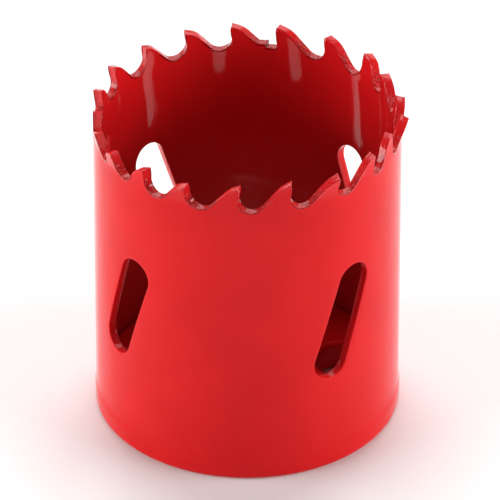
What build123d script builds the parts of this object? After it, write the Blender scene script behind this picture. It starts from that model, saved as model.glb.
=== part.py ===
from build123d import *

import os
from math import acos, asin, atan2, cos, degrees, hypot, pi, radians, sin, tan

# Hole saw: a threaded base cap welded into a rolled steel cup with a toothed bi-metal rim.
# Millimetres, +Z up, teeth up, origin on the axis at the bottom of the cap.
# Angles are in degrees, counter-clockwise seen from above, which is the way the teeth lead.

# Cup
CUTTING_DIAMETER = 40.0
SIDE_SET = 0.95
WALL = 1.1
OVERALL_HEIGHT = 43.1

# Base cap
FLANGE_THICKNESS = 2.3
FLANGE_EDGE_RADIUS = 0.7
SPIGOT_HEIGHT = 1.5
SPIGOT_CLEARANCE = 0.05
SPIGOT_CHAMFER = 0.35
THREAD_BORE = 14.7
THREAD_CHAMFER = 0.6

# Drive-pin holes in the cap: as wide as the metal that is kept inside and outside them allows
PIN_HOLE_COUNT = 2
PIN_INNER_WEB = 1.25
PIN_OUTER_WEB = 2.1
PIN_CHAMFER = 0.3
PIN_AZIMUTH = 60.0

# Weld between cap and cup, ground down to a low swelling at the foot of the tube
WELD_SWELL = 0.12
WELD_HEIGHT = 1.0

# Slanted slots in the side, for levering out the waste plug
SLOT_COUNT = 4
SLOT_WIDTH = 4.6
SLOT_LENGTH = 15.9
SLOT_SLANT = 18.0
SLOT_CENTRE_HEIGHT = 21.1

# Teeth in order round the rim: how far each one stands from the next,
# and the share of the full side set that it has, outwards positive
FIRST_TOOTH_AZIMUTH = 45.6
TOOTH_PITCHES = (
    4.15, 5.4, 5.4, 6.2, 6.8, 6.0, 6.2, 6.5, 6.3, 5.7, 5.0,
    4.8, 4.7, 5.3, 6.0, 6.3, 6.6, 6.3, 6.2, 5.1, 4.75,
)
TOOTH_SETS = (
    1.0, 0.5, -0.1, 0.75, 0.2, 0.0, 0.0, 0.0, -0.1, 0.5, 0.3,
    0.0, 0.75, 0.9, 0.4, 0.9, 0.0, -0.25, 0.85, 0.3, -0.1,
)
SET_HEIGHT = 2.9
LAND_LENGTH = 1.5
LAND_RELIEF = 20.0
RAKE_ANGLE = 5.0
RAKE_SKEW = 15.0
MEAN_GULLET_DEPTH = 3.3
DEPTH_PER_PITCH = 0.17
GULLET_RADIUS_PER_PITCH = 0.26
CUTTING_EDGE_DEPTH = 1.3

# Gullet at the seam of the rolled strip: a deep notch up to the seam, then a shallow ledge
SEAM_TOOTH = 5
SEAM_DISTANCE = 1.4
SEAM_NOTCH_DEPTH = 3.06
SEAM_NOTCH_RADIUS = 0.5
SEAM_LEDGE_DEPTH = 2.5
SEAM_LEDGE_LENGTH = 1.15

# How far the gullet cutter runs past what it cuts
CUTTER_OVERRUN = 1.0
LAND_OVERRUN = 0.4

# Sizes that follow from those above
TUBE_RADIUS = CUTTING_DIAMETER / 2 - SIDE_SET
BORE_RADIUS = TUBE_RADIUS - WALL
MID_WALL_RADIUS = TUBE_RADIUS - WALL / 2
FLANGE_RADIUS = TUBE_RADIUS + WELD_SWELL
SPIGOT_RADIUS = BORE_RADIUS - SPIGOT_CLEARANCE
FLOOR_HEIGHT = FLANGE_THICKNESS + SPIGOT_HEIGHT
PIN_HOLE = SPIGOT_RADIUS - PIN_OUTER_WEB - THREAD_BORE / 2 - PIN_INNER_WEB
PIN_CIRCLE_RADIUS = THREAD_BORE / 2 + PIN_INNER_WEB + PIN_HOLE / 2
BEND_HEIGHT = OVERALL_HEIGHT - SET_HEIGHT
CUTTING_EDGE_HEIGHT = OVERALL_HEIGHT - CUTTING_EDGE_DEPTH
TOOTH_COUNT = len(TOOTH_PITCHES)
MEAN_PITCH = 2 * pi * TUBE_RADIUS / TOOTH_COUNT
PITCH_SCALE = MEAN_PITCH * TOOTH_COUNT / sum(TOOTH_PITCHES)
CUTTER_OUTER_RADIUS = CUTTING_DIAMETER / 2 + CUTTER_OVERRUN
CUTTER_INNER_RADIUS = BORE_RADIUS - CUTTER_OVERRUN


def facing_plane(azimuth, radius):
    """Upright plane that faces outwards: x runs the way the teeth lead, y runs up."""
    turn = radians(azimuth)
    outwards = Vector(cos(turn), sin(turn), 0)
    leading = Vector(-sin(turn), cos(turn), 0)
    return Plane(origin=outwards * radius, x_dir=leading, z_dir=outwards)


def section_plane(azimuth):
    """Upright plane through the axis: x runs outwards, y runs up."""
    return Plane.XZ.rotated((0, 0, azimuth))


def pitch_after(tooth):
    """Distance round the tube from a tooth's tip to the next one."""
    return TOOTH_PITCHES[tooth % TOOTH_COUNT] * PITCH_SCALE


def tip_azimuth(tooth):
    """Azimuth of a tooth's tip."""
    return FIRST_TOOTH_AZIMUTH + degrees(sum(pitch_after(i) for i in range(tooth)) / TUBE_RADIUS)


def lean_angle(tooth):
    """Lean in radians that carries a tooth's outer corner out by its share of the set."""
    side_set = SIDE_SET * TOOTH_SETS[tooth % TOOTH_COUNT]
    corner_reach = hypot(SET_HEIGHT, WALL / 2)
    return asin((side_set + WALL / 2) / corner_reach) - atan2(WALL / 2, SET_HEIGHT)


def top_drop(tooth, radius):
    """How far the leaning top of a tooth lies below full height, at a radius."""
    lean = lean_angle(tooth)
    return SET_HEIGHT * (1 - cos(lean)) + (radius - MID_WALL_RADIUS - SET_HEIGHT * sin(lean)) * tan(lean)


def gullet_arc(tooth):
    """Radius and centre of the round floor ahead of a tooth, measured from the tooth's tip."""
    pitch = pitch_after(tooth)
    rake = radians(RAKE_ANGLE)
    radius = GULLET_RADIUS_PER_PITCH * pitch
    up = radius - MEAN_GULLET_DEPTH - DEPTH_PER_PITCH * (pitch - MEAN_PITCH)
    return radius, (radius + up * sin(rake)) / cos(rake), up


def gullet_azimuth(tooth):
    """Azimuth of the lowest point of the gullet ahead of a tooth."""
    radius, along, up = gullet_arc(tooth)
    skew_lead = (TUBE_RADIUS - MID_WALL_RADIUS) * tan(radians(RAKE_SKEW))
    return tip_azimuth(tooth) + degrees((along + skew_lead) / TUBE_RADIUS)


def gullet_outline(tooth, radius):
    """Outline of the gullet ahead of a tooth, on an upright plane at a radius from the axis."""
    pitch = pitch_after(tooth)
    azimuth = tip_azimuth(tooth) + degrees(pitch / 2 / TUBE_RADIUS)
    skew_lead = (TUBE_RADIUS - radius) * tan(radians(RAKE_SKEW))
    rake_slope = tan(radians(RAKE_ANGLE))
    land_slope = tan(radians(LAND_RELIEF))

    def place(along, up):
        """Wrap a point, measured from the tooth's tip, round the axis onto the plane."""
        turn = (along + skew_lead - pitch / 2) / TUBE_RADIUS
        return radius * tan(turn), OVERALL_HEIGHT + up

    def place_on_land(past_tip):
        """Point on the land of the next tooth, which slopes back and leans with that tooth."""
        along = pitch + past_tip
        reach = hypot(radius, place(along, 0)[0])
        return place(along, past_tip * land_slope - top_drop(tooth + 1, reach))

    face_top = place(rake_slope * CUTTER_OVERRUN, CUTTER_OVERRUN)
    heel = place_on_land(-LAND_LENGTH)
    land_end = place_on_land(LAND_OVERRUN)
    cutter_top = place(pitch + LAND_OVERRUN, CUTTER_OVERRUN)
    with BuildSketch(facing_plane(azimuth, radius)) as outline:
        with BuildLine():
            if tooth == SEAM_TOOTH:
                foot_up = SEAM_NOTCH_RADIUS - SEAM_NOTCH_DEPTH
                face_foot = place(rake_slope * foot_up, foot_up)
                notch_start = place(rake_slope * foot_up + SEAM_NOTCH_RADIUS, -SEAM_NOTCH_DEPTH)
                Line(face_top, face_foot)
                TangentArc(face_foot, notch_start, tangent=(0, -1))
                Polyline(
                    notch_start,
                    place(SEAM_DISTANCE, -SEAM_NOTCH_DEPTH),
                    place(SEAM_DISTANCE, -SEAM_LEDGE_DEPTH),
                    place(SEAM_DISTANCE + SEAM_LEDGE_LENGTH, -SEAM_LEDGE_DEPTH),
                    heel,
                )
            else:
                floor_radius, floor_along, floor_up = gullet_arc(tooth)
                heel_along = pitch - LAND_LENGTH - floor_along
                heel_up = -LAND_LENGTH * land_slope - floor_up
                back_turn = atan2(heel_up, heel_along) - acos(floor_radius / hypot(heel_along, heel_up))
                face_turn = -pi - radians(RAKE_ANGLE)
                floor = [
                    place(floor_along + floor_radius * cos(turn), floor_up + floor_radius * sin(turn))
                    for turn in (face_turn, (face_turn + back_turn) / 2, back_turn)
                ]
                Line(face_top, floor[0])
                ThreePointArc(*floor)
                Line(floor[-1], heel)
            Polyline(heel, land_end, cutter_top, face_top)
        make_face()
    return outline.sketch


def add_tube():
    """Straight tube up to the bend of the teeth, with the weld's swelling at its foot."""
    with BuildSketch(section_plane(0)) as section:
        with BuildLine():
            Polyline(
                (BORE_RADIUS, FLANGE_THICKNESS),
                (FLANGE_RADIUS, FLANGE_THICKNESS),
                (TUBE_RADIUS, FLANGE_THICKNESS + WELD_HEIGHT),
                (TUBE_RADIUS, BEND_HEIGHT),
                (BORE_RADIUS, BEND_HEIGHT),
                close=True,
            )
        make_face()
    revolve(section.sketch, axis=Axis.Z)


def add_tooth_blank(tooth):
    """Stretch of the rim that leans with one tooth, from gullet to gullet."""
    lean = lean_angle(tooth)
    start = gullet_azimuth(tooth - 1)
    along = SET_HEIGHT + CUTTER_OVERRUN / 2
    middle = (MID_WALL_RADIUS + along * sin(lean), BEND_HEIGHT + along * cos(lean))
    across = (WALL / 2 * cos(lean), -WALL / 2 * sin(lean))
    with BuildSketch(section_plane(start)) as section:
        with BuildLine():
            Polyline(
                (BORE_RADIUS, BEND_HEIGHT),
                (TUBE_RADIUS, BEND_HEIGHT),
                (middle[0] + across[0], middle[1] + across[1]),
                (middle[0] - across[0], middle[1] - across[1]),
                close=True,
            )
        make_face()
    revolve(section.sketch, axis=Axis.Z, revolution_arc=gullet_azimuth(tooth) - start)


def cut_gullet(tooth):
    """Mill the gullet ahead of a tooth, askew, so that the tooth's inner corner leads."""
    inside = gullet_outline(tooth, CUTTER_INNER_RADIUS)
    outside = gullet_outline(tooth, CUTTER_OUTER_RADIUS)
    loft([inside.face(), outside.face()], ruled=True, mode=Mode.SUBTRACT)


def cut_slot(azimuth):
    """Punch one slanted slot through the wall, its top leaning the way the teeth lead."""
    with BuildSketch(facing_plane(azimuth, 0)) as outline:
        with Locations((0, SLOT_CENTRE_HEIGHT)):
            SlotOverall(SLOT_LENGTH, SLOT_WIDTH, rotation=90 - SLOT_SLANT)
    extrude(outline.sketch, amount=CUTTING_DIAMETER / 2, mode=Mode.SUBTRACT)


CAP_TOP = Plane.XY.offset(FLOOR_HEIGHT)
CAP_UNDERSIDE = Plane(origin=(0, 0, 0), x_dir=(1, 0, 0), z_dir=(0, 0, -1))

os.makedirs("parts", exist_ok=True)

# Base cap: a flange the cup stands on, a spigot inside it, the arbor thread and the pin holes
with BuildPart() as base_cap:
    with BuildSketch():
        Circle(FLANGE_RADIUS)
    extrude(amount=FLANGE_THICKNESS)
    fillet(base_cap.edges().sort_by(Axis.Z)[0], FLANGE_EDGE_RADIUS)
    with BuildSketch(Plane.XY.offset(FLANGE_THICKNESS)):
        Circle(SPIGOT_RADIUS)
    extrude(amount=SPIGOT_HEIGHT)
    chamfer(base_cap.edges().sort_by(Axis.Z)[-1], SPIGOT_CHAMFER)
    with Locations(CAP_TOP, CAP_UNDERSIDE):
        CounterSinkHole(THREAD_BORE / 2, THREAD_BORE / 2 + THREAD_CHAMFER, counter_sink_angle=90)
    for face, turn in ((CAP_TOP, PIN_AZIMUTH), (CAP_UNDERSIDE, -PIN_AZIMUTH)):
        with Locations(face):
            with PolarLocations(PIN_CIRCLE_RADIUS, PIN_HOLE_COUNT, start_angle=turn):
                CounterSinkHole(PIN_HOLE / 2, PIN_HOLE / 2 + PIN_CHAMFER, counter_sink_angle=90)

base_cap.part.label = "base_cap"
export_step(base_cap.part, "parts/base_cap.step")

# Rolled strip with its milled and set teeth, still in one with its welded cutting edge
with BuildPart() as toothed_strip:
    add_tube()
    for number in range(1, TOOTH_COUNT + 1):
        add_tooth_blank(number)
    for number in range(TOOTH_COUNT):
        cut_gullet(number)
    for number in range(SLOT_COUNT):
        cut_slot(number * 360 / SLOT_COUNT)

# Cup wall: the tough backing steel, up to the weld of the cutting edge
with BuildPart() as cup_wall:
    add(toothed_strip.part)
    split(bisect_by=Plane.XY.offset(CUTTING_EDGE_HEIGHT), keep=Keep.BOTTOM)

cup_wall.part.label = "cup_wall"
export_step(cup_wall.part, "parts/cup_wall.step")

# Cutting tips: what the milling left of the hard edge strip, one on each tooth
with BuildPart() as cutting_edge:
    add(toothed_strip.part)
    split(bisect_by=Plane.XY.offset(CUTTING_EDGE_HEIGHT), keep=Keep.TOP)


def turn_from_last_gullet(tip):
    """Azimuth of a tip's middle, from the gullet before the first tooth."""
    middle = tip.center()
    return (degrees(atan2(middle.Y, middle.X)) - gullet_azimuth(TOOTH_COUNT - 1)) % 360


for number, tip in enumerate(sorted(cutting_edge.solids(), key=turn_from_last_gullet), start=1):
    with BuildPart() as cutting_tip:
        add(tip)
    cutting_tip.part.label = f"cutting_tip_{number:02d}"
    export_step(cutting_tip.part, f"parts/cutting_tip_{number:02d}.step")
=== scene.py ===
from collections import namedtuple
from math import acos, asin, atan2, cos, hypot, pi, radians, sin, tan

import bmesh
import bpy
from mathutils import Matrix, Vector


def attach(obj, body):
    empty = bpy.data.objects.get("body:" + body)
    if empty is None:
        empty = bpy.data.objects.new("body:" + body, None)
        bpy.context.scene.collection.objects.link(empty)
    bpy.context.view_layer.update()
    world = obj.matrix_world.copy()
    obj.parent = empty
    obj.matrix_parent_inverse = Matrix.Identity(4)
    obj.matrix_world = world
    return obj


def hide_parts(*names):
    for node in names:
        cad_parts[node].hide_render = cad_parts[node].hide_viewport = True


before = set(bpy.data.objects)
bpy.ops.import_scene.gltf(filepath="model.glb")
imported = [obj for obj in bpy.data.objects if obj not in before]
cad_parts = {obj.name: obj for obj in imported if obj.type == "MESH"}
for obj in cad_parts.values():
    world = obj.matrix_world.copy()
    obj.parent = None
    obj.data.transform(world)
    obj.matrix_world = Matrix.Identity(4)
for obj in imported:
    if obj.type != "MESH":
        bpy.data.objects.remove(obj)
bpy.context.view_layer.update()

# The hole saw's own sizes, in millimetres and degrees, as in the source of its solids
RIM_HEIGHT = 43.1
TUBE_RADIUS = 19.05
WALL = 1.1
SIDE_SET = 0.95
SET_HEIGHT = 2.9
FLANGE_THICKNESS = 2.3
FLANGE_EDGE_RADIUS = 0.7
SPIGOT_RADIUS = 17.9
SPIGOT_CHAMFER = 0.35
FLOOR_HEIGHT = 3.8
WELD_SWELL = 0.12
WELD_HEIGHT = 1.0
PIN_AZIMUTHS = (60.0, 240.0)
PIN_CIRCLE_RADIUS = 12.2
PIN_RADIUS = 3.6
PIN_CHAMFER = 0.3
SLOT_AZIMUTHS = (0.0, 90.0, 180.0, 270.0)
SLOT_WIDTH = 4.6
SLOT_LENGTH = 15.9
SLOT_SLANT = 18.0
SLOT_CENTRE_HEIGHT = 21.1
FIRST_TOOTH_AZIMUTH = 45.6
TOOTH_PITCHES = (
    4.15, 5.4, 5.4, 6.2, 6.8, 6.0, 6.2, 6.5, 6.3, 5.7, 5.0,
    4.8, 4.7, 5.3, 6.0, 6.3, 6.6, 6.3, 6.2, 5.1, 4.75,
)
TOOTH_SETS = (
    1.0, 0.5, -0.1, 0.75, 0.2, 0.0, 0.0, 0.0, -0.1, 0.5, 0.3,
    0.0, 0.75, 0.9, 0.4, 0.9, 0.0, -0.25, 0.85, 0.3, -0.1,
)
LAND_LENGTH = 1.5
LAND_RELIEF = 20.0
RAKE_ANGLE = 5.0
RAKE_SKEW = 15.0
MEAN_GULLET_DEPTH = 3.3
DEPTH_PER_PITCH = 0.17
GULLET_RADIUS_PER_PITCH = 0.26
SEAM_TOOTH = 5
SEAM_DISTANCE = 1.4
SEAM_NOTCH_DEPTH = 3.06
SEAM_NOTCH_RADIUS = 0.5
SEAM_LEDGE_DEPTH = 2.5
SEAM_LEDGE_LENGTH = 1.15
THREAD_BORE_RADIUS = 7.35
THREAD_ROOT_RADIUS = 7.94
THREAD_MOUTH_RADIUS = 7.95
THREAD_PITCH = 25.4 / 18

# The thread has 18 turns to the inch. Of its pitch, these shares lie flat at the bore and belong
# to the two flanks.
THREAD_CREST = 0.14
THREAD_FLANKS = 0.62

# How the paint and the bending soften the steel's edges. The blend at a tooth's heel takes no
# more than a share of the tooth's back.
BEND_LENGTH = 1.4
HEEL_BLEND = 0.85
HEEL_BLEND_SHARE = 0.7
EDGE_ROUNDING = 0.11
CAP_EDGE_ROUNDING = 0.1
ROUNDING_SEGMENTS = 3

# Above the bend, the teeth are drawn in by this much, which keeps them inside the solids' box.
TIP_MARGIN = 0.012

# Edges that fold by more degrees than this count as sharp.
CUP_SHARP_ANGLE = 38
CAP_SHARP_ANGLE = 30
THREAD_SHARP_ANGLE = 42

# Heights over which the rake's skew sets in
SKEW_HEIGHTS = (36, 39.3)

# The slots are cut square through the wall. Near them the columns of faces keep their distance
# from the slot's middle plane, and this fades over these distances and heights.
SQUARE_DISTANCES = (4.4, 7.5)
SQUARE_HEIGHTS = (30.5, 36)

# Rows of faces of the flat strip, by height, the windows in which the slots are drawn, and the
# cuts that divide the faces between a window and its slot
RIM_BASE = 38.2
RIM_ROWS = 8
UPPER_ROWS = (37.0, 35.7, 34.3, 32.8, 31.5, 30.3)
WINDOW_ROWS = 20
WINDOW_BOTTOM = 11.9
WINDOW_HALF_WIDTH = 5.4
WINDOW_CUTS = 3
LOWER_ROWS = (10.3, 8.7, 7.1, 5.5, 4.4, 3.8, 3.3, 3.0, 2.65, 2.3)

# Steps in which the cutter's line follows each stretch of a tooth
FACE_STEPS = 4
GULLET_STEPS = 9
BACK_STEPS = 2
ROUND_STEPS = 4
FLAT_STEPS = 3

# Where the columns of faces stand at the foot of the rim, along the strip from the tooth's tip:
# that of the tip, that of the rake face's end, and in the odd notch those of the ends of the
# face, the round, the floor and the rise to the ledge. At the end of a gullet's floor, the heel
# and the ledge's end, they stand a shift away from the place above.
TIP_FOOT = -0.4
FACE_FOOT = -0.05
SEAM_FEET = (-0.15, 0.35, 1.2, 1.6)
FOOT_SHIFT = 0.1

# Shares of the gullet's floor between which one tooth's lean gives way to the next one's
LEAN_CHANGE = (0.3, 0.7)

# A lean under this, in radians, counts as none.
SMALLEST_LEAN = 0.0001

# Division of the cap and the thread, the bands of faces along the cap's edges, and how far the
# wall behind the thread stands out past its mouths
CAP_SEGMENTS = 144
BORE_SEGMENTS = 96
PIN_SEGMENTS = 64
FLANGE_EDGE_TURNS = (0, 15, 30, 45, 60, 75, 90)
FLANGE_BORDER = 0.4
CAP_BORDER = 0.14
THREAD_COLUMNS = 128
THREAD_ROWS = 76
THREAD_BACKING = 0.03

# Corners closer than the first length are joined, and slivers below the second are closed up.
JOIN_DISTANCE = 0.0001
SLIVER_SIZE = 0.0008

# Millimetres in a metre
MILLIMETRES = 1000

# Sizes that follow
MID_WALL_RADIUS = TUBE_RADIUS - WALL / 2
STRIP_LENGTH = 2 * pi * TUBE_RADIUS
TOOTH_COUNT = len(TOOTH_PITCHES)
MEAN_PITCH = STRIP_LENGTH / TOOTH_COUNT
PITCH_SCALE = STRIP_LENGTH / sum(TOOTH_PITCHES)
BEND_HEIGHT = RIM_HEIGHT - SET_HEIGHT
FLANGE_RADIUS = TUBE_RADIUS + WELD_SWELL

# Zones of the cup's paint: the radii and heights over which each sets in, in metres like the
# coordinates of the materials
PAINT_INSIDE = (0.0181, 0.0187)
# Heights over which painted shade darkens the inside of the cup towards the floor
PAINT_SHADE_HEIGHTS = (0.020, 0.036)
PAINT_WALL_GLOSS = (0.022, 0.030)
PAINT_RIM = (0.036, 0.039)
PAINT_GULLET = (0.0405, 0.0418)

# Relief of the paint: what its unit stands for in millimetres, and how much each part adds
PAINT_DEPTH = 0.2
SKIN_RELIEF = 0.03
WAVE_RELIEF = 0.35
RIPPLE_RELIEF = 0.5
RIM_LUMP_RELIEF = 0.6
GULLET_LUMP_RELIEF = 3.6

# Gloss of the paint, how far the painted shade deep in the cup covers the red, and the part
# of a noise's range over which a blotch sets in
WALL_GLOSS = 0.5
RIM_GLOSS = 0.5
COAT_ROUGHNESS = 0.03
PAINT_ROUGHNESS = 0.03
PAINT_ROUGHNESS_SPREAD = 0.05
PAINT_SPECULAR = 0.13
PAINTED_SHADE_COVER = 0.7
BLOTCH_RANGE = (0.35, 0.65)

# Tapped steel: relief of its turning marks in millimetres, its roughness, and the part of a
# noise's range over which a stain sets in
MARK_DEPTH = 0.02
STEEL_ROUGHNESS = 0.26
MARK_ROUGHNESS = 0.2
STAIN_ROUGHNESS = 0.12
STAIN_RANGE = (0.4, 0.7)

# Colours
RED = (0.60, 0.009, 0.011, 1)
BLOTCH_RED = (0.56, 0.008, 0.010, 1)
# Painted shade: the darker red deep inside the cup
PAINTED_SHADE_RED = (0.40, 0.020, 0.022, 1)
STEEL = (0.56, 0.55, 0.53, 1)
OILED_STEEL = (0.36, 0.33, 0.29, 1)
FLOOR_PALE = (0.93, 0.93, 0.93, 1)
FLOOR_SHADE = (0.9, 0.9, 0.9, 1)
STUDIO_GREY = (0.15, 0.15, 0.15, 1)

# Camera, placed as the photograph was taken. Lengths are in metres, angles in degrees, and the
# picture's size and the hole saw's axis in it in pixels.
CAMERA_AZIMUTH = 52.0
CAMERA_DISTANCE = 0.71639
CAMERA_HEIGHT = 0.50526
CAMERA_PITCH = 34.029
CAMERA_LENS = 499.5
CAMERA_SENSOR = 36.0
CAMERA_CLIP = (0.01, 10.0)
PICTURE_SIZE = 500
AXIS_PIXEL = 247.41

# Soft boxes: power in watts, size in metres, azimuth from the camera's in degrees, distance
# from the axis and height in metres. They face a point on the axis.
LAMPS = {
    "left_box": (5.6, (0.55, 0.36), -76, 0.7, 0.18),
    "right_box": (5.6, (0.55, 0.36), 76, 0.7, 0.18),
    "back_box": (5.4, (1.2, 0.6), 180, 0.67, 0.6),
    "top_box": (3.0, (0.5, 0.45), 180, 0.34, 0.88),
}
LAMP_AIM = Vector((0, 0, 0.02))

# Half the floor's width, and how far it lies under the cap so that their faces don't coincide
FLOOR_REACH = 2
FLOOR_GAP = 0.00003

# A column of the flat strip: its place along the strip and height at the milled line, its
# places at the foot of the rim and lower down, and the lean of its tooth
Column = namedtuple("Column", "along height foot lower lean")


def ease(value, start, end):
    """0 before start, 1 past end, and a smooth rise between them."""
    share = min(max((value - start) / (end - start), 0), 1)
    return share * share * (3 - 2 * share)


def shares(count):
    """Even shares of a stretch, without 0."""
    return [i / count for i in range(1, count + 1)]


def steps(start, end, count):
    """Points that divide a straight run evenly, without its start."""
    return [
        tuple(a + (b - a) * i / count for a, b in zip(start, end))
        for i in range(1, count + 1)
    ]


def part_way(start, end, distance):
    """The point that lies a distance along a straight run."""
    share = distance / hypot(end[0] - start[0], end[1] - start[1])
    return tuple(a + (b - a) * share for a, b in zip(start, end))


def lean_angle(tooth):
    """Lean that carries a tooth's outer corner out by its share of the set."""
    side_set = SIDE_SET * TOOTH_SETS[tooth % TOOTH_COUNT]
    corner = hypot(SET_HEIGHT, WALL / 2)
    return asin((side_set + WALL / 2) / corner) - atan2(WALL / 2, SET_HEIGHT)


def seam_notch(tip):
    """The cutter's line from a tip through the odd notch, where the strip's ends meet."""
    face_foot, round_foot, floor_foot, ledge_foot = SEAM_FEET
    face_up = SEAM_NOTCH_RADIUS - SEAM_NOTCH_DEPTH
    face_along = face_up * tan(radians(RAKE_ANGLE))
    centre = face_along + SEAM_NOTCH_RADIUS
    line = steps(tip, (face_along, face_up, face_foot, 0), FACE_STEPS)
    for share in shares(ROUND_STEPS):
        turn = pi + share * pi / 2
        along = centre + SEAM_NOTCH_RADIUS * cos(turn)
        up = face_up + SEAM_NOTCH_RADIUS * sin(turn)
        line.append((along, up, face_foot + (round_foot - face_foot) * share, 0))
    line += steps(line[-1], (SEAM_DISTANCE, -SEAM_NOTCH_DEPTH, floor_foot, 0), FLAT_STEPS)
    line += steps(line[-1], (SEAM_DISTANCE, -SEAM_LEDGE_DEPTH, ledge_foot, 1), 1)
    ledge_end = SEAM_DISTANCE + SEAM_LEDGE_LENGTH
    line += steps(line[-1], (ledge_end, -SEAM_LEDGE_DEPTH, ledge_end + FOOT_SHIFT, 1), FLAT_STEPS)
    return line


def round_gullet(tip, heel, pitch):
    """The cutter's line from a tip down its rake face and round the gullet to the next back."""
    rake = radians(RAKE_ANGLE)
    radius = GULLET_RADIUS_PER_PITCH * pitch
    up = radius - MEAN_GULLET_DEPTH - DEPTH_PER_PITCH * (pitch - MEAN_PITCH)
    along = (radius + up * sin(rake)) / cos(rake)
    heel_reach = hypot(heel[0] - along, heel[1] - up)
    back_turn = atan2(heel[1] - up, heel[0] - along) - acos(radius / heel_reach)
    face_turn = -pi - rake
    face_end = (along + radius * cos(face_turn), up + radius * sin(face_turn), FACE_FOOT, 0)
    floor_foot = along + radius * cos(back_turn) + FOOT_SHIFT
    line = steps(tip, face_end, FACE_STEPS)
    for share in shares(GULLET_STEPS):
        turn = face_turn + (back_turn - face_turn) * share
        foot = FACE_FOOT + (floor_foot - FACE_FOOT) * share
        lean_share = ease(share, *LEAN_CHANGE)
        line.append((along + radius * cos(turn), up + radius * sin(turn), foot, lean_share))
    return line


def milled_line(tooth):
    """The cutter's line from a tooth's tip to the next tip, without the tip it starts from.

    Each point has its distance along the strip and its height, both from the tooth's tip, the
    distance that its column of faces has come to at the foot of the rim, and the share of the
    next tooth in its lean.
    """
    pitch = TOOTH_PITCHES[tooth] * PITCH_SCALE
    heel_along = pitch - LAND_LENGTH
    heel_up = -LAND_LENGTH * tan(radians(LAND_RELIEF))
    heel = (heel_along, heel_up, heel_along - FOOT_SHIFT, 1)
    tip = (0, 0, TIP_FOOT, 0)
    next_tip = (pitch, 0, pitch + TIP_FOOT, 1)
    line = seam_notch(tip) if tooth == SEAM_TOOTH else round_gullet(tip, heel, pitch)
    back = line[-1]
    back_length = hypot(heel[0] - back[0], heel[1] - back[1])
    blend = min(HEEL_BLEND, HEEL_BLEND_SHARE * back_length)
    before = part_way(heel, back, blend)
    after = part_way(heel, next_tip, blend)
    line += steps(back, before, BACK_STEPS)
    for share in shares(ROUND_STEPS):
        weights = ((1 - share) ** 2, 2 * share * (1 - share), share ** 2)
        trios = zip(before, heel, after)
        line.append(tuple(sum(w * p for w, p in zip(weights, trio)) for trio in trios))
    line += steps(after, next_tip, FLAT_STEPS)
    return line


def strip_columns():
    """Every column of the flat strip, from the first tooth's tip round to it again."""
    columns = [Column(0, RIM_HEIGHT, TIP_FOOT, TIP_FOOT, lean_angle(0))]
    tip_place = 0
    for tooth in range(TOOTH_COUNT):
        pitch = TOOTH_PITCHES[tooth] * PITCH_SCALE
        line = milled_line(tooth)
        for number, (along, up, foot, share) in enumerate(line, start=1):
            lower = tip_place + TIP_FOOT + pitch * number / len(line)
            lean = lean_angle(tooth) * (1 - share) + lean_angle(tooth + 1) * share
            columns.append(
                Column(tip_place + along, RIM_HEIGHT + up, tip_place + foot, lower, lean)
            )
        tip_place += pitch
    return columns


def slot_place(azimuth):
    """Where along the strip a slot's middle lies."""
    return radians((azimuth - FIRST_TOOTH_AZIMUTH) % 360) * TUBE_RADIUS


def roll(along, depth, height, lean):
    """Where a point of the flat strip comes to once it is bent round and its teeth are set.

    The depth counts from the strip's outer face.
    """
    outward = WALL / 2 - depth
    past = max(height - BEND_HEIGHT + BEND_LENGTH / 2, 0)
    bent = min(past / BEND_LENGTH, 1)
    turn = lean * bent
    rest = max(past - BEND_LENGTH, 0)
    if abs(turn) > SMALLEST_LEAN:
        arc = BEND_LENGTH / lean
        out = arc * (1 - cos(turn)) + rest * sin(turn)
        rise = height - past + arc * sin(turn) + rest * cos(turn)
    else:
        out = 0
        rise = height
    radius = MID_WALL_RADIUS + out + outward * cos(turn)
    rise -= outward * sin(turn)
    skew = ease(height, *SKEW_HEIGHTS) * tan(radians(RAKE_SKEW)) * (TUBE_RADIUS - radius)
    angle = (along + skew) / TUBE_RADIUS
    for azimuth in SLOT_AZIMUTHS:
        across = along - slot_place(azimuth)
        if abs(across) < SQUARE_DISTANCES[1]:
            share = 1 - ease(abs(across), *SQUARE_DISTANCES)
            share *= 1 - ease(height, *SQUARE_HEIGHTS)
            angle += share * (asin(across / radius) - across / TUBE_RADIUS)
    swell = min(max((FLANGE_THICKNESS + WELD_HEIGHT - rise) / WELD_HEIGHT, 0), 1)
    radius += WELD_SWELL * swell * (1 - depth / WALL)
    angle += radians(FIRST_TOOTH_AZIMUTH)
    margin = TIP_MARGIN * bent
    radius -= margin
    return Vector((radius * cos(angle), radius * sin(angle), rise - margin / 2))


def in_window(bm, item, window_columns, window_rows):
    """Whether a face or an edge lies within a range of the strip's columns and rows."""
    column_layer = bm.verts.layers.int["column"]
    row_layer = bm.verts.layers.int["row"]
    return all(
        window_columns[0] <= vert[column_layer] <= window_columns[-1]
        and window_rows[0] <= vert[row_layer] <= window_rows[-1]
        for vert in item.verts
    )


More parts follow.
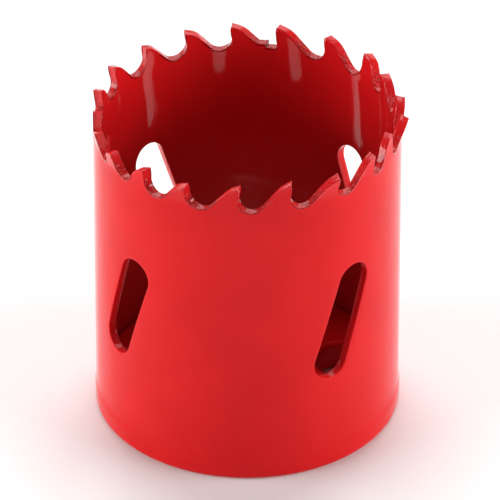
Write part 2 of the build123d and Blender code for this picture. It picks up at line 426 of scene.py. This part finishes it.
def open_slots(bm, columns, window_rows):
    """Cut a window for each slot and draw its border in to the slot's rounded outline."""
    column_layer = bm.verts.layers.int["column"]
    milled = bm.verts.layers.float["milled"]
    half_straight = (SLOT_LENGTH - SLOT_WIDTH) / 2
    axis = Vector((sin(radians(SLOT_SLANT)), 0, cos(radians(SLOT_SLANT))))
    for azimuth in SLOT_AZIMUTHS:
        middle = Vector((slot_place(azimuth), 0, SLOT_CENTRE_HEIGHT))
        window_columns = [
            number for number, column in enumerate(columns)
            if abs(column.lower - middle.x) < WINDOW_HALF_WIDTH
        ]
        window = [face for face in bm.faces if in_window(bm, face, window_columns, window_rows)]
        bmesh.ops.delete(bm, geom=window, context="FACES")
        border = [
            edge for edge in bm.edges
            if edge.is_boundary and in_window(bm, edge, window_columns, window_rows)
        ]
        drawn = bmesh.ops.extrude_edge_only(bm, edges=border)["geom"]
        outline = [item for item in drawn if isinstance(item, bmesh.types.BMVert)]
        for vert in outline:
            offset = vert.co - middle
            core = axis * min(max(offset.dot(axis), -half_straight), half_straight)
            vert.co = middle + core + (offset - core).normalized() * SLOT_WIDTH / 2
            vert[milled] = 1
            vert[column_layer] = -1
        outline_set = set(outline)
        rungs = [
            edge for vert in outline for edge in vert.link_edges
            if edge.other_vert(vert) not in outline_set
        ]
        bmesh.ops.subdivide_edges(bm, edges=rungs, cuts=WINDOW_CUTS, use_grid_fill=True)


def finish_mesh(bm, name):
    """Turn a shape drawn in millimetres into a smooth-shaded object in metres."""
    bmesh.ops.dissolve_degenerate(bm, dist=SLIVER_SIZE, edges=bm.edges)
    bmesh.ops.scale(bm, vec=(1 / MILLIMETRES,) * 3, verts=bm.verts)
    mesh = bpy.data.meshes.new(name)
    bm.to_mesh(mesh)
    bm.free()
    mesh.polygons.foreach_set("use_smooth", [True] * len(mesh.polygons))
    piece = bpy.data.objects.new(name, mesh)
    bpy.context.scene.collection.objects.link(piece)
    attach(piece, "root")
    return piece


def lay_out_strip(bm):
    """The strip's outer face laid flat, its columns following the milled line, with its slots."""
    columns = strip_columns()
    last_column = len(columns) - 1
    window_step = (UPPER_ROWS[-1] - WINDOW_BOTTOM) / WINDOW_ROWS
    window_levels = [UPPER_ROWS[-1] - window_step * i for i in range(1, WINDOW_ROWS + 1)]
    levels = [*UPPER_ROWS, *window_levels, *LOWER_ROWS]
    last_row = RIM_ROWS + len(levels)
    window_top = RIM_ROWS + len(UPPER_ROWS)

    # The grid is one unit wide and high, round the origin.
    bmesh.ops.create_grid(bm, x_segments=last_column, y_segments=last_row, size=0.5)
    lean_layer = bm.verts.layers.float.new("lean")
    milled = bm.verts.layers.float.new("milled")
    column_layer = bm.verts.layers.int.new("column")
    row_layer = bm.verts.layers.int.new("row")
    for vert in bm.verts:
        number = round((vert.co.x + 0.5) * last_column)
        row = last_row - round((vert.co.y + 0.5) * last_row)
        column = columns[number]
        if row <= RIM_ROWS:
            share = row / RIM_ROWS
            along = column.along + (column.foot - column.along) * share
            height = column.height + (RIM_BASE - column.height) * share
        else:
            height = levels[row - RIM_ROWS - 1]
            share = ease(height, UPPER_ROWS[-1], RIM_BASE)
            along = column.lower + (column.foot - column.lower) * share
        vert.co = (along, 0, height)
        vert[lean_layer] = column.lean
        vert[column_layer] = number
        vert[row_layer] = row
        vert[milled] = float(row == 0)
    open_slots(bm, columns, (window_top, window_top + WINDOW_ROWS))


def make_painted_cup():
    """The rolled strip with its teeth and slots, under one film of paint."""
    bm = bmesh.new()
    lay_out_strip(bm)
    flat = bm.verts.layers.float_vector.new("flat")
    lean_layer = bm.verts.layers.float["lean"]
    milled = bm.verts.layers.float["milled"]
    for vert in bm.verts:
        vert[flat] = vert.co
        along, _, height = vert.co
        vert.co = roll(along, 0, height, vert[lean_layer])
    bmesh.ops.remove_doubles(bm, verts=bm.verts, dist=JOIN_DISTANCE)
    bmesh.ops.recalc_face_normals(bm, faces=bm.faces)
    wall = bmesh.ops.extrude_face_region(bm, geom=bm.faces[:], use_keep_orig=True)["geom"]
    for vert in wall:
        if isinstance(vert, bmesh.types.BMVert):
            along, _, height = vert[flat]
            vert.co = roll(along, WALL, height, vert[lean_layer])
    bmesh.ops.recalc_face_normals(bm, faces=bm.faces)

    # Milled edges are rounded by the paint. The others stay sharp only where the cap hides them.
    rounded = []
    for edge in bm.edges:
        if edge.calc_face_angle() > radians(CUP_SHARP_ANGLE):
            if all(vert[milled] > 0.5 for vert in edge.verts):
                rounded.append(edge)
            else:
                edge.smooth = edge.verts[0].co.z > FLOOR_HEIGHT
    bmesh.ops.bevel(
        bm, geom=rounded, offset=EDGE_ROUNDING, offset_type="ABSOLUTE",
        segments=ROUNDING_SEGMENTS, profile=0.5, affect="EDGES", clamp_overlap=False, material=-1,
    )

    # Of the layers, only "milled" is left, for the material.
    layers = bm.verts.layers
    layers.float_vector.remove(layers.float_vector["flat"])
    for name in ("column", "row"):
        layers.int.remove(layers.int[name])
    layers.float.remove(layers.float["lean"])
    return finish_mesh(bm, "painted_cup")


def draw_ring(bm, radius, height, segments, centre=(0, 0)):
    """A ring of edges, as the start of a turned or drilled surface."""
    place = Matrix.Translation((*centre, height))
    made = bmesh.ops.create_circle(
        bm, cap_ends=False, radius=radius, segments=segments, matrix=place,
    )
    return list(dict.fromkeys(edge for vert in made["verts"] for edge in vert.link_edges))


def carry_ring(bm, ring, radius, height, centre=(0, 0)):
    """Carry a ring of edges on to another radius and height, with a band of faces behind it."""
    made = bmesh.ops.extrude_edge_only(bm, edges=ring)["geom"]
    verts = {item for item in made if isinstance(item, bmesh.types.BMVert)}
    middle = Vector((*centre, 0))
    for vert in verts:
        outwards = (vert.co - middle) * Vector((1, 1, 0))
        vert.co = middle + outwards.normalized() * radius + Vector((0, 0, height))
    return [
        item for item in made
        if isinstance(item, bmesh.types.BMEdge) and all(vert in verts for vert in item.verts)
    ]


def make_painted_cap():
    """The cap's painted surfaces: floor, underside, flange and the two pin holes."""
    bm = bmesh.new()
    top_rings = draw_ring(bm, SPIGOT_RADIUS - SPIGOT_CHAMFER, FLOOR_HEIGHT, CAP_SEGMENTS)
    ring = carry_ring(bm, top_rings, SPIGOT_RADIUS, FLOOR_HEIGHT - SPIGOT_CHAMFER)
    ring = carry_ring(bm, ring, SPIGOT_RADIUS, FLANGE_THICKNESS)
    ring = carry_ring(bm, ring, FLANGE_RADIUS, FLANGE_THICKNESS)
    ring = carry_ring(bm, ring, FLANGE_RADIUS, FLANGE_EDGE_RADIUS + FLANGE_BORDER)
    for turn in FLANGE_EDGE_TURNS:
        radius = FLANGE_RADIUS - FLANGE_EDGE_RADIUS * (1 - cos(radians(turn)))
        ring = carry_ring(bm, ring, radius, FLANGE_EDGE_RADIUS * (1 - sin(radians(turn))))
    bottom_rings = carry_ring(bm, ring, FLANGE_RADIUS - FLANGE_EDGE_RADIUS - FLANGE_BORDER, 0)
    bore = draw_ring(bm, THREAD_MOUTH_RADIUS, FLOOR_HEIGHT, BORE_SEGMENTS)
    top_rings += bore
    bottom_rings += carry_ring(bm, bore, THREAD_MOUTH_RADIUS, 0)
    for azimuth in PIN_AZIMUTHS:
        turn = radians(azimuth)
        centre = (PIN_CIRCLE_RADIUS * cos(turn), PIN_CIRCLE_RADIUS * sin(turn))
        mouth = draw_ring(bm, PIN_RADIUS + PIN_CHAMFER, FLOOR_HEIGHT, PIN_SEGMENTS, centre)
        top_rings += mouth
        ring = carry_ring(bm, mouth, PIN_RADIUS, FLOOR_HEIGHT - PIN_CHAMFER, centre)
        ring = carry_ring(bm, ring, PIN_RADIUS, PIN_CHAMFER, centre)
        bottom_rings += carry_ring(bm, ring, PIN_RADIUS + PIN_CHAMFER, 0, centre)
    planes = []
    for rings in (top_rings, bottom_rings):
        filled = bmesh.ops.triangle_fill(bm, use_beauty=True, edges=rings)["geom"]
        planes += [item for item in filled if isinstance(item, bmesh.types.BMFace)]
    bmesh.ops.recalc_face_normals(bm, faces=bm.faces)
    bmesh.ops.inset_region(
        bm, faces=planes, thickness=CAP_BORDER, use_boundary=True, use_even_offset=True,
    )

    # The edges between the bore and the spigot's wall are rounded by the paint.
    sharp = [edge for edge in bm.edges if edge.calc_face_angle() > radians(CAP_SHARP_ANGLE)]
    rounded = []
    for edge in sharp:
        reach = hypot(edge.verts[0].co.x, edge.verts[0].co.y)
        if THREAD_MOUTH_RADIUS + CAP_BORDER < reach < SPIGOT_RADIUS - CAP_BORDER:
            rounded.append(edge)
        else:
            edge.smooth = False
    bmesh.ops.bevel(
        bm, geom=rounded, offset=CAP_EDGE_ROUNDING, offset_type="OFFSET",
        segments=ROUNDING_SEGMENTS, profile=0.5, affect="EDGES", clamp_overlap=True, material=-1,
    )
    return finish_mesh(bm, "painted_cap")


def thread_radius(turn, height):
    """Radius of the right-hand internal thread, with a chamfered mouth at both ends."""
    phase = (height / THREAD_PITCH - turn / (2 * pi)) % 1
    flank = min(max((abs(phase - 0.5) * 2 - THREAD_CREST) / THREAD_FLANKS, 0), 1)
    radius = THREAD_BORE_RADIUS + (THREAD_ROOT_RADIUS - THREAD_BORE_RADIUS) * flank
    end_distance = min(height, FLOOR_HEIGHT - height)
    return max(radius, THREAD_MOUTH_RADIUS - end_distance)


def make_arbor_thread():
    """The threaded wall of the centre hole, left bare."""
    bm = bmesh.new()
    # The grid is one unit wide and high, round the origin.
    bmesh.ops.create_grid(bm, x_segments=THREAD_COLUMNS, y_segments=THREAD_ROWS, size=0.5)
    for vert in bm.verts:
        turn = (vert.co.x + 0.5) * 2 * pi
        height = (vert.co.y + 0.5) * FLOOR_HEIGHT
        radius = thread_radius(turn, height)
        vert.co = (radius * cos(turn), radius * sin(turn), height)
    bmesh.ops.remove_doubles(bm, verts=bm.verts, dist=JOIN_DISTANCE)
    borders = [edge for edge in bm.edges if edge.is_boundary]
    lower = [edge for edge in borders if edge.verts[0].co.z < FLOOR_HEIGHT / 2]
    upper = [edge for edge in borders if edge.verts[0].co.z > FLOOR_HEIGHT / 2]
    backing = THREAD_MOUTH_RADIUS + THREAD_BACKING
    lower = carry_ring(bm, lower, backing, 0)
    upper = carry_ring(bm, upper, backing, FLOOR_HEIGHT)
    bmesh.ops.bridge_loops(bm, edges=lower + upper)
    bmesh.ops.recalc_face_normals(bm, faces=bm.faces)
    for edge in bm.edges:
        if edge.calc_face_angle() > radians(THREAD_SHARP_ANGLE):
            edge.smooth = False
    return finish_mesh(bm, "arbor_thread")


class Signal:
    """A value, colour or vector inside a material. Maths on it adds the nodes that do it."""

    def __init__(self, finish, socket):
        self.finish = finish
        self.socket = socket

    def __add__(self, other):
        return self.finish.maths("ADD", self, other)

    def __radd__(self, other):
        return self.finish.maths("ADD", other, self)

    def __rsub__(self, other):
        return self.finish.maths("SUBTRACT", other, self)

    def __mul__(self, other):
        return self.finish.maths("MULTIPLY", self, other)

    def __rmul__(self, other):
        return self.finish.maths("MULTIPLY", other, self)


class Finish:
    """A material made of nodes, on object coordinates in metres."""

    def __init__(self, name):
        self.material = bpy.data.materials.new(name)
        self.material.use_nodes = True
        self.nodes = self.material.node_tree.nodes
        self.links = self.material.node_tree.links
        self.shader = self.nodes["Principled BSDF"]
        self.place = self.add("TexCoord", {}, {}, "Object")

    def add(self, kind, settings, sockets, output=0):
        """Make a node, set it up, feed its sockets, and give the wanted output."""
        node = self.nodes.new("ShaderNode" + kind)
        for setting, value in settings.items():
            setattr(node, setting, value)
        for socket, value in sockets.items():
            self.feed(node.inputs[socket], value)
        return Signal(self, node.outputs[output])

    def feed(self, socket, value):
        """Link a signal to a socket, or set a constant on it."""
        if isinstance(value, Signal):
            self.links.new(value.socket, socket)
        else:
            socket.default_value = value

    def maths(self, operation, first, second):
        return self.add("Math", {"operation": operation}, {0: first, 1: second})

    def mix(self, share, first, second):
        """First colour, giving way to the second by a share. 6 and 7 are the colour sockets."""
        return self.add("Mix", {"data_type": "RGBA"}, {0: share, 6: first, 7: second}, 2)

    def rise(self, value, start, end):
        """Smooth step from 0 to 1 between two values."""
        return self.add(
            "MapRange", {"interpolation_type": "SMOOTHSTEP"},
            {"Value": value, "From Min": start, "From Max": end},
        )

    def noise(self, size, detail, stretch=(1, 1, 1), distortion=0.0):
        """Noise about a given size in millimetres, stretched along the axes, round 0.5."""
        scale = tuple(1 / s for s in stretch)
        place = self.add("Mapping", {}, {"Vector": self.place, "Scale": scale})
        return self.add("TexNoise", {}, {
            "Vector": place, "Scale": MILLIMETRES / size, "Detail": detail,
            "Distortion": distortion,
        })

    def height(self):
        """Height above the floor, in metres."""
        return self.add("SeparateXYZ", {}, {"Vector": self.place}, "Z")

    def reach(self):
        """Distance from the hole saw's axis, in metres."""
        flat = self.add("Mapping", {}, {"Vector": self.place, "Scale": (1, 1, 0)})
        return self.add("VectorMath", {"operation": "LENGTH"}, {"Vector": flat}, "Value")

    def bump(self, relief, depth):
        """Feed the shader's normal from a relief whose unit stands for a depth in millimetres."""
        sockets = {"Strength": 1.0, "Distance": depth / MILLIMETRES, "Height": relief}
        self.feed(self.shader.inputs["Normal"], self.add("Bump", {}, sockets))

    def look(self, **values):
        """Feed the shader's sockets, each by its name in small letters with underscores."""
        for name, value in values.items():
            socket = name.replace("_", " ").title().replace("Ior", "IOR")
            self.feed(self.shader.inputs[socket], value)


def red_enamel(name, is_cup):
    """Thick sprayed and baked red enamel.

    On the cup it is also lumpy and glossy at the rim and rippled inside. Inside, it is duller
    and darker towards the floor, which is painted shade in the deep recess.
    """
    paint = Finish(name)
    blotches = paint.rise(paint.noise(size=9.0, detail=3.0), *BLOTCH_RANGE)
    colour = paint.mix(blotches, RED, BLOTCH_RED)
    skin = paint.noise(size=2.2, detail=1.0)
    waves = paint.noise(size=7.0, detail=1.0, stretch=(1, 1, 2.2))
    relief = SKIN_RELIEF * skin + WAVE_RELIEF * waves
    if is_cup:
        height = paint.height()
        inside = 1 - paint.rise(paint.reach(), *PAINT_INSIDE)
        # Painted shade: inside the cup, the red darkens towards the floor.
        painted_shade = inside * (1 - paint.rise(height, *PAINT_SHADE_HEIGHTS))
        colour = paint.mix(PAINTED_SHADE_COVER * painted_shade, colour, PAINTED_SHADE_RED)
        ripples = paint.noise(size=4.5, detail=2.0, stretch=(1, 1, 3.0))
        milled = paint.add("Attribute", {"attribute_name": "milled"}, {}, "Fac")
        on_rim = milled * paint.rise(height, *PAINT_RIM)
        in_gullet = 1 - paint.rise(height, *PAINT_GULLET)
        lumps = paint.noise(size=0.45, detail=2.0, distortion=0.6)
        lump_relief = RIM_LUMP_RELIEF + GULLET_LUMP_RELIEF * in_gullet
        relief = relief + RIPPLE_RELIEF * inside * ripples + lump_relief * on_rim * lumps
        wall_gloss = WALL_GLOSS * inside * paint.rise(height, *PAINT_WALL_GLOSS)
        gloss = wall_gloss + on_rim * (RIM_GLOSS - wall_gloss)
        paint.look(coat_weight=gloss, coat_roughness=COAT_ROUGHNESS)
    roughness = PAINT_ROUGHNESS + PAINT_ROUGHNESS_SPREAD * paint.noise(size=3.0, detail=2.0)
    paint.look(base_color=colour, roughness=roughness, specular_ior_level=PAINT_SPECULAR)
    paint.bump(relief, PAINT_DEPTH)
    return paint.material


def bare_steel(name):
    """Tapped steel: bright turning marks, with stains of oil."""
    steel = Finish(name)
    marks = steel.noise(size=0.35, detail=3.0, stretch=(6, 6, 0.25))
    stains = steel.rise(steel.noise(size=2.2, detail=3.0), *STAIN_RANGE)
    roughness = STEEL_ROUGHNESS + MARK_ROUGHNESS * marks + STAIN_ROUGHNESS * stains
    colour = steel.mix(stains, STEEL, OILED_STEEL)
    steel.look(base_color=colour, metallic=1.0, roughness=roughness)
    steel.bump(marks, MARK_DEPTH)
    return steel.material


def pale_floor(name):
    """A plain pale floor without gloss, hardly shaded by large soft clouds."""
    floor = Finish(name)
    colour = floor.mix(floor.noise(size=30.0, detail=2.0), FLOOR_PALE, FLOOR_SHADE)
    floor.look(base_color=colour, roughness=1.0, specular_ior_level=0.0)
    return floor.material


def make_camera():
    """The camera, shifted because the hole saw stands a little off the picture's middle."""
    azimuth = radians(CAMERA_AZIMUTH)
    data = bpy.data.cameras.new("camera")
    data.lens = CAMERA_LENS
    data.sensor_width = CAMERA_SENSOR
    data.shift_x = (PICTURE_SIZE / 2 - AXIS_PIXEL) / PICTURE_SIZE
    data.clip_start, data.clip_end = CAMERA_CLIP
    camera = bpy.data.objects.new("camera", data)
    camera.location = (
        CAMERA_DISTANCE * sin(azimuth), -CAMERA_DISTANCE * cos(azimuth), CAMERA_HEIGHT,
    )
    camera.rotation_euler = (radians(90 - CAMERA_PITCH), 0, azimuth)
    bpy.context.scene.collection.objects.link(camera)
    bpy.context.scene.camera = camera


def make_lamp(name, power, size, azimuth, distance, height):
    """A soft box that faces the hole saw, at an azimuth from the camera's."""
    turn = radians(CAMERA_AZIMUTH + azimuth)
    data = bpy.data.lights.new(name, "AREA")
    data.energy = power
    data.shape = "RECTANGLE"
    data.size, data.size_y = size
    lamp = bpy.data.objects.new(name, data)
    place = Vector((distance * sin(turn), -distance * cos(turn), height))
    lamp.location = place
    lamp.rotation_euler = (LAMP_AIM - place).to_track_quat("-Z", "Y").to_euler()
    bpy.context.scene.collection.objects.link(lamp)


def make_stage():
    """The floor, the faint light from all round, and the plain view of the colours."""
    bm = bmesh.new()
    bmesh.ops.create_grid(bm, x_segments=1, y_segments=1, size=FLOOR_REACH)
    mesh = bpy.data.meshes.new("floor")
    bm.to_mesh(mesh)
    bm.free()
    mesh.transform(Matrix.Translation((0, 0, -FLOOR_GAP)))
    floor = bpy.data.objects.new("floor", mesh)
    bpy.context.scene.collection.objects.link(floor)
    mesh.materials.append(pale_floor("floor"))
    world = bpy.data.worlds.new("studio")
    bpy.context.scene.world = world
    world.use_nodes = True
    background = world.node_tree.nodes["Background"]
    background.inputs["Color"].default_value = STUDIO_GREY
    bpy.context.scene.view_settings.view_transform = "Standard"


make_camera()
for lamp_name, settings in LAMPS.items():
    make_lamp(lamp_name, *settings)
make_stage()

cup = make_painted_cup()
cup.data.materials.append(red_enamel("cup_enamel", True))
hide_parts("cup_wall", *(f"cutting_tip_{number:02d}" for number in range(1, TOOTH_COUNT + 1)))

cap = make_painted_cap()
cap.data.materials.append(red_enamel("cap_enamel", False))
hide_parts("base_cap")

thread = make_arbor_thread()
thread.data.materials.append(bare_steel("tapped_steel"))
